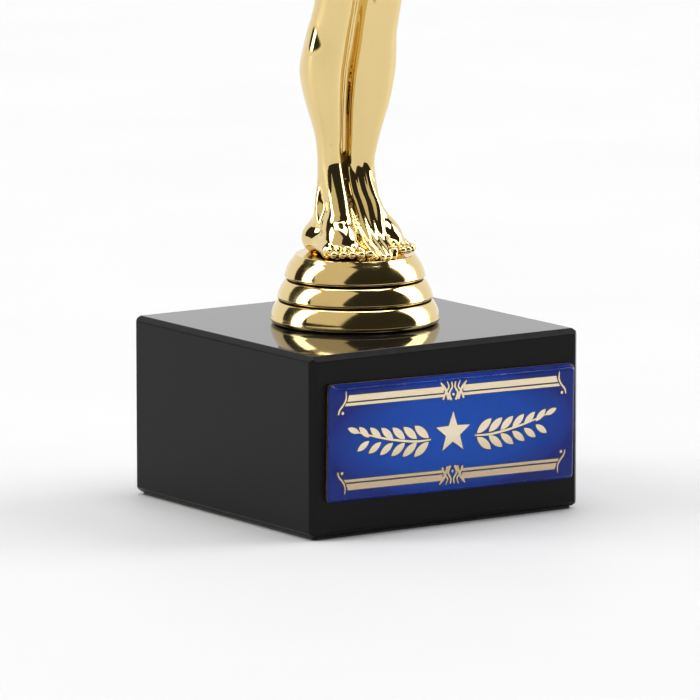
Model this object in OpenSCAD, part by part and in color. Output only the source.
// Figure trophy: a gold athlete lifting a star, on a round stepped pedestal
// that is bolted to a square stone block with a domed plaque on its front.
// Millimetres. +Z is up and the plaque and the figure face -Y.
// The origin is the centre of the underside.

/* [Block] */
// Side of the square block
block_side = 60; // [58:1:80]
// Height from the table to the top of the block
block_h = 34; // [30:1:45]
// Chamfer along every edge of the block
block_chamfer = 1; // [0.5:0.1:2]
// Thickness of the felt pad under the block
pad_t = 0.4; // [0.4:0.1:2]

/* [Fastening] */
// Thread diameter of the tie bolt
bolt_d = 5; // [4:1:6]
// Length of the tie bolt under its head
bolt_l = 30; // [28:1:36]
// Diameter of the recess for the bolt head
recess_d = 19; // [17:1:24]
// Depth of that recess
recess_h = 12; // [10:0.5:14]

/* [Plaque] */
// Width of the plaque
plaque_w = 54.8; // [50:0.2:56]
// Height of the plaque
plaque_h = 21.7; // [20:0.1:24]
// Thickness of the clear dome
dome_t = 1.4; // [0.8:0.1:2]
// Clockwise lean of the hand-laid plaque, in degrees
plaque_lean = 1; // [0:0.5:2]
// Sideways offset of the plaque's centre
plaque_x = 0.4; // [-1:0.1:1]
// Height of the plaque's centre above half the block's height
plaque_lift = 0.4; // [-1:0.1:2]

/* [Pedestal] */
// Largest diameter of the pedestal
pedestal_d = 31.8; // [31:0.2:36]
// Height of the pedestal
pedestal_h = 12.9; // [12.5:0.1:15]

/* [Figure] */
// Height of the figure from its soles to its crown
figure_h = 165; // [150:5:170]
// Tip to tip radius of the star
star_r = 14; // [12:0.5:16]

/* [Hidden] */
$fn = 64;
soft_fn = 14;

// Fastening
bolt_r = bolt_d / 2;
bolt_hole_r = bolt_r + 0.4;
head_af = 1.6 * bolt_d;
head_h = 0.7 * bolt_d;
washer_t = 1.2;
washer_r = 1.5 * bolt_d;
nut_h = 0.8 * bolt_d;
nut_gap = 0.05;
recess_top = pad_t + recess_h;
head_top = recess_top - 2 * washer_t;
bolt_tip = head_top + bolt_l;

// Plaque layers, outward from the block's face
tape_t = 0.25;
plate_t = 0.5;
print_t = 0.1;
foil_t = 0.05;
plaque_corner = 0.8;
dome_edge = 0.7;
bar_thick = 1.15;
bar_thin = 0.52;
bar_gap = 0.28;
bar_inset = 2.1;
bar_end = 3.7;
line_w = 0.32;

// Pedestal
peg_r = 3;
peg_l = 3.8;
peg_gap = 0.05;
pedestal_r = pedestal_d / 2;

// Figure
k = figure_h / 165;
sole_z = block_h + pedestal_h;
shoulder_x = 14.2;
shoulder_z = 133;
arm_peg_r = 2.4;
arm_peg_l = 4;
star_z = 200;
star_y = -1.6;
star_t = 5;

// ---------------------------------------------------------------- helpers

function catmull(a, b, c, d, t) =
    0.5 * (2 * b + (c - a) * t + (2 * a - 5 * b + 4 * c - d) * t * t
    + (3 * b - a - 3 * c + d) * t * t * t);

// A smooth row of values through the given ones, n steps between neighbours
function smooth(p, n) = [
    for (i = [0 : len(p) - 2])
    for (j = [0 : n - 1 + (i == len(p) - 2 ? 1 : 0)])
        catmull(p[max(i - 1, 0)], p[i], p[i + 1], p[min(i + 2, len(p) - 1)], j / n)
];

// An elliptical ring; each station is [z, x, y, half width, half depth]
function ring(s, sides, flutes, depth) = [
    for (i = [0 : sides - 1])
    let (a = 360 * i / sides, f = 1 + depth * cos(flutes * a))
        [s[1] + s[3] * f * cos(a), s[2] + s[4] * f * sin(a), s[0]]
];

// A closed skin over stations, with fluting that fades from the first station up
module loft(stations, steps = 2, sides = 24, flutes = 0, flute_depth = 0) {
    rows = smooth(stations, steps);
    n = len(rows);
    points = [
        for (j = [0 : n - 1])
        for (p = ring(rows[j], sides, flutes, flute_depth * (1 - j / (n - 1))))
            p
    ];
    sides_faces = [
        for (j = [0 : n - 2])
        for (i = [0 : sides - 1])
        for (t = [0, 1])
        let (m = (i + 1) % sides, lo = j * sides, hi = lo + sides)
            t == 0 ? [lo + i, hi + i, lo + m] : [lo + m, hi + i, hi + m]
    ];
    floor_face = [for (i = [0 : sides - 1]) i];
    roof_face = [for (i = [sides - 1 : -1 : 0]) (n - 1) * sides + i];
    polyhedron(points, concat(sides_faces, [floor_face, roof_face]));
}

// Rounded limbs through balls given as [[x, y, z], radius]
module limb(balls) {
    for (i = [0 : len(balls) - 2])
        hull() {
            translate(balls[i][0]) sphere(balls[i][1], $fn = soft_fn);
            translate(balls[i + 1][0]) sphere(balls[i + 1][1], $fn = soft_fn);
        }
}

module rounded_plate(w, h, r) {
    square([w - 2 * r, h], center = true);
    square([w, h - 2 * r], center = true);
    for (x = [-1, 1], y = [-1, 1])
        translate([x * (w / 2 - r), y * (h / 2 - r)]) circle(r);
}

module chamfered_square(side, c) {
    s = side / 2;
    t = s - c;
    polygon([[s, t], [t, s], [-t, s], [-s, t], [-s, -t], [-t, -s], [t, -s], [s, -t]]);
}

// ------------------------------------------------------------------ block

module felt_pad() {
    color([0.07, 0.07, 0.08])
        linear_extrude(pad_t)
            rounded_plate(block_side - 2 * block_chamfer, block_side - 2 * block_chamfer, 1);
}

module base_block() {
    height = block_h - pad_t;
    middle = pad_t + height / 2;
    color([0.06, 0.06, 0.07])
        difference() {
            intersection() {
                translate([0, 0, pad_t])
                    linear_extrude(height) chamfered_square(block_side, block_chamfer);
                crossed_side_views(height, middle);
            }
            translate([0, 0, pad_t - 1]) cylinder(r = bolt_hole_r, h = block_h + 2);
            translate([0, 0, pad_t - 1]) cylinder(d = recess_d, h = recess_h + 1);
        }
}

// The block's side view, chamfered, extruded both ways and crossed
module crossed_side_views(height, middle) {
    intersection() {
        translate([0, block_side, middle])
            rotate([90, 0, 0]) linear_extrude(2 * block_side) side_view(height);
        translate([-block_side, 0, middle])
            rotate([90, 0, 90]) linear_extrude(2 * block_side) side_view(height);
    }
}

module side_view(height) {
    x = block_side / 2;
    z = height / 2;
    c = block_chamfer;
    polygon([
        [x, z - c], [x - c, z], [c - x, z], [-x, z - c],
        [-x, c - z], [c - x, -z], [x - c, -z], [x, c - z]
    ]);
}

// ----------------------------------------------------------------- plaque

// Places a layer, drawn flat and facing +Z, on the block's front face
module on_front(depth) {
    translate([plaque_x, -block_side / 2 - depth, block_h / 2 + plaque_lift])
        rotate([90, 0, 0])
            rotate([0, 0, -plaque_lean])
                children();
}

// A tapering stroke along a smooth line; each point is [x, y, width]
module stroke(points, n = 4) {
    row = smooth(points, n);
    last = len(row) - 1;
    function side(i) =
        let (a = row[max(i - 1, 0)], b = row[min(i + 1, last)], d = b - a)
        let (l = norm([d[0], d[1]]))
            [-d[1], d[0]] / l * row[i][2] / 2;
    left = [for (i = [0 : last]) [row[i][0], row[i][1]] + side(i)];
    right = [for (i = [last : -1 : 0]) [row[i][0], row[i][1]] - side(i)];
    polygon(concat(left, right));
}

// One border: a thick and a thin bar, a scroll at each end and a knot in the middle
module border_2d() {
    half = plaque_w / 2;
    top = plaque_h / 2 - bar_inset;
    low = top - bar_thick - bar_gap - bar_thin;
    knot = 2.2;
    for (s = [-1, 1])
        scale_x(s) {
            polygon([
                [knot, top], [half - bar_end - 0.5, top],
                [half - bar_end - 0.1, top - bar_thick], [knot, top - bar_thick]
            ]);
            polygon([
                [knot, low + bar_thin], [half - bar_end + 0.1, low + bar_thin],
                [half - bar_end + 0.4, low], [knot, low]
            ]);
            stroke([
                [half - 3.5, top + 0.7, 0.12], [half - 3.55, top - 0.6, line_w],
                [half - 3.0, low + 0.3, line_w], [half - 2.2, low - 0.6, line_w],
                [half - 1.95, low - 1.5, 0.2]
            ]);
            translate([half - 2.85, low - 1.25]) circle(0.27, $fn = 24);
            knot_half(top, low);
        }
    translate([0, low + 0.35]) circle(0.26, $fn = 24);
}

// Half of the middle knot: three strokes that spring from its foot
module knot_half(top, low) {
    stroke([
        [0.5, low - 0.7, 0.5], [0.95, low + 0.6, 0.42],
        [0.32, low + 1.7, 0.36], [0.45, top + 0.7, 0.24]
    ]);
    stroke([
        [1.1, low - 0.6, 0.45], [1.6, low + 0.9, 0.5],
        [2.2, top - 0.1, 0.55], [2.9, top + 0.7, 0.18]
    ]);
    stroke([
        [2.3, low - 0.5, 0.4], [1.7, low + 0.9, 0.4],
        [1.05, top - 0.2, 0.3], [1.45, top + 0.8, 0.16]
    ]);
}

module scale_x(s) {
    if (s < 0) mirror([1, 0]) children();
    else children();
}

// A pointed leaf along +X
module leaf(length, width) {
    r = (length * length / 4 + width * width / 4) / width;
    intersection() {
        translate([length / 2, r - width / 2]) circle(r);
        translate([length / 2, width / 2 - r]) circle(r);
    }
}

module star_2d(outer, inner) {
    polygon([
        for (i = [0 : 9])
        let (r = i % 2 == 0 ? outer : inner)
            r * [sin(36 * i), cos(36 * i)]
    ]);
}

// A star between two laurel sprigs
module emblem_2d() {
    leaves = 6;
    pitch = 2.65;
    star_2d(4, 1.65);
    for (s = [-1, 1])
        scale_x(s) {
            stroke([[4.9, -0.9, 0.24], [9, -0.9, 0.42], [15, 0.1, 0.38], [21, 1.7, 0.2]]);
            for (i = [0 : leaves - 1])
                let (x = 5.4 + i * pitch, size = 4.1 - 0.2 * i, rise = 0.0065 * pow(x - 5, 2))
                for (side = [-1, 1])
                    translate([x, -0.9 + rise + side * 0.34])
                        rotate([0, 0, side * 38 + 0.9 * i])
                            leaf(size, 0.38 * size);
            translate([20.8, 1.65]) rotate([0, 0, 22]) leaf(2.8, 1.05);
        }
}

module plaque_tape() {
    color([0.8, 0.8, 0.78])
        on_front(0) linear_extrude(tape_t) rounded_plate(plaque_w - 1, plaque_h - 1, 0.5);
}

module plaque_plate() {
    color([0.75, 0.62, 0.32])
        on_front(tape_t)
            linear_extrude(plate_t) rounded_plate(plaque_w, plaque_h, plaque_corner);
}

module plaque_field() {
    color([0.1, 0.22, 0.62])
        on_front(tape_t + plate_t)
            linear_extrude(print_t) rounded_plate(plaque_w, plaque_h, plaque_corner);
}

// Gold foil lies on the blue print
module foil() {
    color([0.86, 0.74, 0.46])
        on_front(tape_t + plate_t + print_t) linear_extrude(foil_t) children();
}

module upper_border() {
    foil() border_2d();
}

module lower_border() {
    foil() mirror([0, 1]) border_2d();
}

module centre_emblem() {
    foil() emblem_2d();
}

// Half section of the dome's rolled edge, from its own corner's axis outwards
module dome_section(reach) {
    square([reach - dome_edge, dome_t]);
    square([reach, dome_t - dome_edge]);
    translate([reach - dome_edge, dome_t - dome_edge])
        intersection() {
            circle(dome_edge);
            square(dome_edge);
        }
}

module plaque_dome() {
    w = plaque_w - 2 * plaque_corner;
    h = plaque_h - 2 * plaque_corner;
    color([0.6, 0.7, 1, 0.3])
        on_front(tape_t + plate_t + print_t + foil_t) {
            translate([-w / 2, -h / 2]) cube([w, h, dome_t]);
            for (x = [-1, 1], y = [-1, 1])
                translate([x * w / 2, y * h / 2]) rotate_extrude() dome_section(plaque_corner);
            for (s = [0, 180]) {
                rotate([0, 0, s]) translate([w / 2, h / 2]) rotate([90, 0, 0])
                    linear_extrude(h) dome_section(plaque_corner);
                rotate([0, 0, s]) translate([-w / 2, h / 2]) rotate([90, 0, 90])
                    linear_extrude(w) dome_section(plaque_corner);
            }
        }
}

// -------------------------------------------------------------- fastening

module hexagon(af, h) {
    cylinder(d = af / cos(30), h = h, $fn = 6);
}

module tie_bolt() {
    color([0.7, 0.7, 0.72])
        union() {
            translate([0, 0, head_top - head_h]) hexagon(head_af, head_h);
            translate([0, 0, head_top - 1]) cylinder(r = bolt_r, h = bolt_l + 1);
        }
}

module spring_washer() {
    split = 0.9;
    color([0.6, 0.6, 0.62])
        translate([0, 0, head_top])
            difference() {
                cylinder(r = 0.92 * bolt_d, h = washer_t);
                translate([0, 0, -1]) cylinder(r = bolt_r + 0.1, h = washer_t + 2);
                translate([0, -split / 2, -1]) cube([bolt_d, split, washer_t + 2]);
            }
}

module plain_washer() {
    color([0.72, 0.72, 0.74])
        translate([0, 0, head_top + washer_t])
            difference() {
                cylinder(r = washer_r, h = washer_t);
                translate([0, 0, -1]) cylinder(r = bolt_r + 0.15, h = washer_t + 2);
            }
}

module captive_nut() {
    color([0.7, 0.7, 0.72])
        translate([0, 0, block_h])
            difference() {
                hexagon(head_af, nut_h);
                translate([0, 0, -1]) cylinder(r = bolt_r + nut_gap, h = nut_h + 2);
            }
}

// --------------------------------------------------------------- pedestal

// Points of an arc about [x, z] from one angle to another
function arc(x, z, r, from, to, n = 8) = [
    for (i = [0 : n])
    let (a = from + (to - from) * i / n)
        [x + r * cos(a), z + r * sin(a)]
];

// Three flared tiers with gently rounded flanks, parted by narrow grooves
function pedestal_outline() =
    let (r = pedestal_r, h = pedestal_h)
    concat(
        [[0, 0]],
        arc(r - 1, 1, 1, -80, 0),
        arc(r - 6.4, 0.25, 6.4, 8, 40, 6),
        [[r - 2.1, 4.46], [r - 2.12, 4.54]],
        arc(r - 1.9, 5.05, 0.55, -70, 0, 5),
        arc(r - 7.74, 3.77, 6.5, 12, 44, 6),
        [[r - 3.6, 8.36], [r - 3.62, 8.44]],
        arc(r - 3.25, 8.95, 0.55, -70, 0, 5),
        arc(r - 9.87, 7.5, 7.3, 12, 45, 7),
        [[r - 4.85, h - 0.05], [r - 5, h], [0, h]]
    );

module pedestal() {
    wall = 2.4;
    boss_r = 7.4;
    ribs = 6;
    rib_t = 1.2;
    color([0.86, 0.7, 0.36])
        translate([0, 0, block_h])
            difference() {
                rotate_extrude($fn = 96) polygon(pedestal_outline());
                translate([0, 0, -1]) cylinder(r = bolt_hole_r, h = bolt_tip - block_h + 1.6);
                translate([0, 0, -1]) hexagon(head_af + 0.1, nut_h + 1);
                translate([0, 0, pedestal_h - peg_l - 0.2])
                    cylinder(r = peg_r + peg_gap, h = peg_l + 1);
                // Cored out from below between the boss and the outer wall
                difference() {
                    translate([0, 0, -1]) cylinder(r = pedestal_r - 2.15 - wall, h = 5);
                    translate([0, 0, -2]) cylinder(r = boss_r, h = 9);
                    for (i = [0 : ribs - 1])
                        rotate([0, 0, 30 + i * 360 / ribs])
                            translate([0, -rib_t / 2, -2]) cube([pedestal_r, rib_t, 9]);
                }
            }
}

// ----------------------------------------------------------------- figure

// Legs: [height above the sole, distance from the middle, y, half width, half depth]
leg_line = [
    [2.5, 2.9, 4.6, 2.7, 3.1],
    [7, 2.5, 4.0, 3.1, 3.9],
    [11.6, 2.1, 3.2, 3.0, 4.1],
    [16.2, 2.1, 3.0, 3.1, 4.1],
    [20.7, 2.3, 3.0, 3.5, 4.5],
    [25.3, 2.9, 3.0, 4.0, 5.1],
    [29.8, 3.6, 3.2, 4.6, 5.7],
    [34.4, 4.1, 3.0, 4.9, 6.0],
    [38.9, 4.0, 2.0, 4.8, 5.6],
    [43.5, 3.8, 0.5, 4.5, 5.1],
    [48, 3.8, -1.2, 4.8, 5.3],
    [54, 4.2, -1.6, 5.2, 5.8],
    [62, 5.0, -1.2, 6.2, 6.8],
    [72, 6.0, -0.6, 7.2, 7.8],
    [82, 6.6, 0.2, 7.8, 8.4]
];

// The left leg stands a little ahead of the right one
leg_step = 0.7;

function leg(s) = [for (p = leg_line) [p[0], s * p[1], p[2] - s * leg_step, p[3], p[4]]];

// Feet: toe tips from the big toe outwards, as [x, y] for the figure's right foot
right_toes = [[-3.9, -9.6], [-5.7, -9.1], [-7.0, -8.0], [-8.0, -6.9], [-8.9, -5.4]];
left_toes = [[2.3, -9.4], [4.2, -9.4], [5.8, -8.8], [7.3, -7.8], [8.5, -6.4]];
toe_r = [1.25, 0.95, 0.9, 0.85, 0.8];

module foot(s, toes, heel) {
    ankle = [s * 2.4, 2.6, 7.6];
    instep = [s * 3.6, -1.6, 4.4];
    inner_ball = [s < 0 ? -4.2 : 2.9, -5.6, 2.0];
    outer_ball = [s < 0 ? -8.5 : 7.6, -3.0, 1.7];
    limb([[heel, 3.2], [ankle, 3.2]]);
    limb([[ankle, 3.0], [instep, 2.5], [inner_ball, 1.9]]);
    hull() {
        translate(heel) sphere(3.1, $fn = soft_fn);
        translate(outer_ball) sphere(1.8, $fn = soft_fn);
        translate(instep) sphere(2.4, $fn = soft_fn);
    }
    hull() {
        translate(inner_ball) sphere(1.9, $fn = soft_fn);
        translate(outer_ball) sphere(1.7, $fn = soft_fn);
        translate(instep) sphere(2.4, $fn = soft_fn);
    }
    for (i = [0 : 4])
        let (root = inner_ball + (outer_ball - inner_ball) * i / 4)
            limb([[root, 1.3], [[toes[i][0], toes[i][1], 0.5 + toe_r[i]], toe_r[i]]]);
}

// The fluted web of drapery that runs down between the shins to the toes
module foot_web() {
    web = [[4, 17], [1.5, 11], [-1.2, 6.2], [-4, 4], [-6.8, 2.6], [-11, 0.5], [-11, 0], [4, 0]];
    for (i = [0 : 2])
        translate([-1.6 + i * 0.8, 0, 0])
            rotate([90, 0, 90])
                linear_extrude(0.8) offset(-0.35 * abs(i - 1)) polygon(web);
}

module skirt() {
    loft([
        [61, 0, -1.0, 14.2, 11.2],
        [66, 0, -0.9, 14.4, 11.2],
        [76, 0, -0.5, 14.8, 11.2],
        [86, 0, 0.2, 14.6, 10.8],
        [94, 0, 0.3, 12.6, 9.4],
        [100, 0, 0, 11.4, 8.2]
    ], steps = 2, sides = 72, flutes = 14, flute_depth = 0.07);
}

module torso() {
    loft([
        [92, 0, 0.3, 12.4, 9.2],
        [100, 0, 0, 11.4, 8.2],
        [108, 0, -0.2, 12.6, 8.6],
        [117, 0, -0.4, 14.6, 9.4],
        [125, 0, 0, 15.2, 9.0],
        [132, 0, 0.6, 14.8, 7.6],
        [137, 0, 1.0, 11.0, 6.0],
        [140, 0, 1.2, 6.4, 5.0]
    ], steps = 3, sides = 32);
    // Shoulder slopes and a belt
    for (s = [-1, 1])
        limb([[[0, 1.4, 138], 4.2], [[s * 13.6, 0.7, 136], 3.9]]);
    translate([0, 0, 98.4]) scale([11.9, 8.8, 1]) cylinder(r = 1, h = 3.2, $fn = 40);
}

module head() {
    limb([[[0, 1.2, 136], 5.2], [[0, 0.6, 147], 4.6]]);
    hull() {
        translate([0, 1.4, 157.2]) scale([0.92, 1.05, 1]) sphere(7.8, $fn = 24);
        translate([0, -3.6, 147.8]) sphere(2.7, $fn = soft_fn);
        translate([0, -4.6, 156.5]) sphere(3.2, $fn = soft_fn);
    }
    limb([[[0, -6.6, 156.5], 0.9], [[0, -8.4, 152.6], 1.1]]);
    for (s = [-1, 1])
        limb([[[s * 7, 1.4, 155.6], 1.3], [[s * 6.6, 0.8, 152.6], 0.9]]);
}

module figure_frame() {
    translate([0, 0, sole_z]) scale([k, k, k]) children();
}

module arm_peg(gap) {
    translate([shoulder_x - arm_peg_l - gap, 0.6, shoulder_z])
        rotate([0, 90, 0]) cylinder(r = arm_peg_r + gap, h = arm_peg_l + 3, $fn = 32);
}

module figure_body() {
    color([0.86, 0.7, 0.36])
        figure_frame()
            union() {
                difference() {
                    union() {
                        loft(leg(-1), steps = 2, sides = 24);
                        loft(leg(1), steps = 2, sides = 24);
                        foot(-1, right_toes, [-4.2, 6.0, 2.6]);
                        foot(1, left_toes, [3.8, 5.2, 2.6]);
                        foot_web();
                        skirt();
                        torso();
                        head();
                    }
                    // Flat soles, flat shoulder faces and their sockets
                    translate([-20, -20, -10]) cube([40, 40, 10]);
                    for (s = [-1, 1])
                        scale_x(s) {
                            translate([shoulder_x, -20, 122]) cube([20, 40, 20]);
                            arm_peg(0.1);
                        }
                }
                translate([0, 0, -peg_l / k]) cylinder(r = peg_r / k, h = (peg_l + 2) / k, $fn = 48);
            }
}

// A raised arm that bends at the elbow and closes its hand on the star
module arm() {
    difference() {
        union() {
            limb([
                [[14.2, 0.6, 130.6], 4.0], [[15.4, 0.6, 134.4], 4.9],
                [[18.6, 0.3, 147], 4.0], [[21.8, -0.3, 161.5], 3.0],
                [[19.6, -0.7, 168], 3.3], [[13.4, -1.4, 180.6], 2.0],
                [[11.2, -1.6, 185], 2.4], [[9.4, -1.6, 189], 2.6]
            ]);
            for (i = [0 : 3])
                limb([
                    [[11.3 - 0.9 * i, -3.6, 186.4 + 1.5 * i], 1.0],
                    [[8.9 - 0.8 * i, -4.9, 186.6 + 1.5 * i], 0.95],
                    [[7.1 - 0.7 * i, -3.9, 187.4 + 1.5 * i], 0.85]
                ]);
            limb([[[10.6, 1.2, 186.6], 1.3], [[8.2, 2.2, 189.6], 1.1], [[6.8, 1.8, 191.6], 1.0]]);
        }
        translate([shoulder_x - 20, -20, 120]) cube([20, 40, 30]);
        star_solid(0.06);
    }
    intersection() {
        arm_peg(0);
        translate([0, -20, 120]) cube([shoulder_x + 1, 40, 30]);
    }
}

module left_arm() {
    color([0.86, 0.7, 0.36]) figure_frame() arm();
}

module right_arm() {
    color([0.86, 0.7, 0.36]) figure_frame() mirror([1, 0, 0]) arm();
}

// A faceted five-pointed star, ridged on both faces
module star_solid(grow) {
    outer = star_r + 2 * grow;
    inner = 0.42 * star_r + grow;
    rim = 0.7 + grow;
    peak = star_t / 2 + grow;
    edge = [
        for (y = [-rim, rim])
        for (i = [0 : 9])
        let (r = i % 2 == 0 ? outer : inner)
            [r * sin(36 * i), y, r * cos(36 * i)]
    ];
    points = concat(edge, [[0, -peak, 0], [0, peak, 0]]);
    front = [for (i = [0 : 9]) [i, (i + 1) % 10, 20]];
    back = [for (i = [0 : 9]) [10 + (i + 1) % 10, 10 + i, 21]];
    rim_faces = [for (i = [0 : 9]) [10 + i, 10 + (i + 1) % 10, (i + 1) % 10, i]];
    translate([0, star_y, star_z])
        polyhedron(points, concat(front, back, rim_faces));
}

module star() {
    color([0.9, 0.74, 0.4]) figure_frame() star_solid(0);
}

// ------------------------------------------------------------------ nodes

felt_pad();
base_block();
plaque_tape();
plaque_plate();
plaque_field();
upper_border();
lower_border();
centre_emblem();
plaque_dome();
tie_bolt();
spring_washer();
plain_washer();
captive_nut();
pedestal();
figure_body();
left_arm();
right_arm();
star();
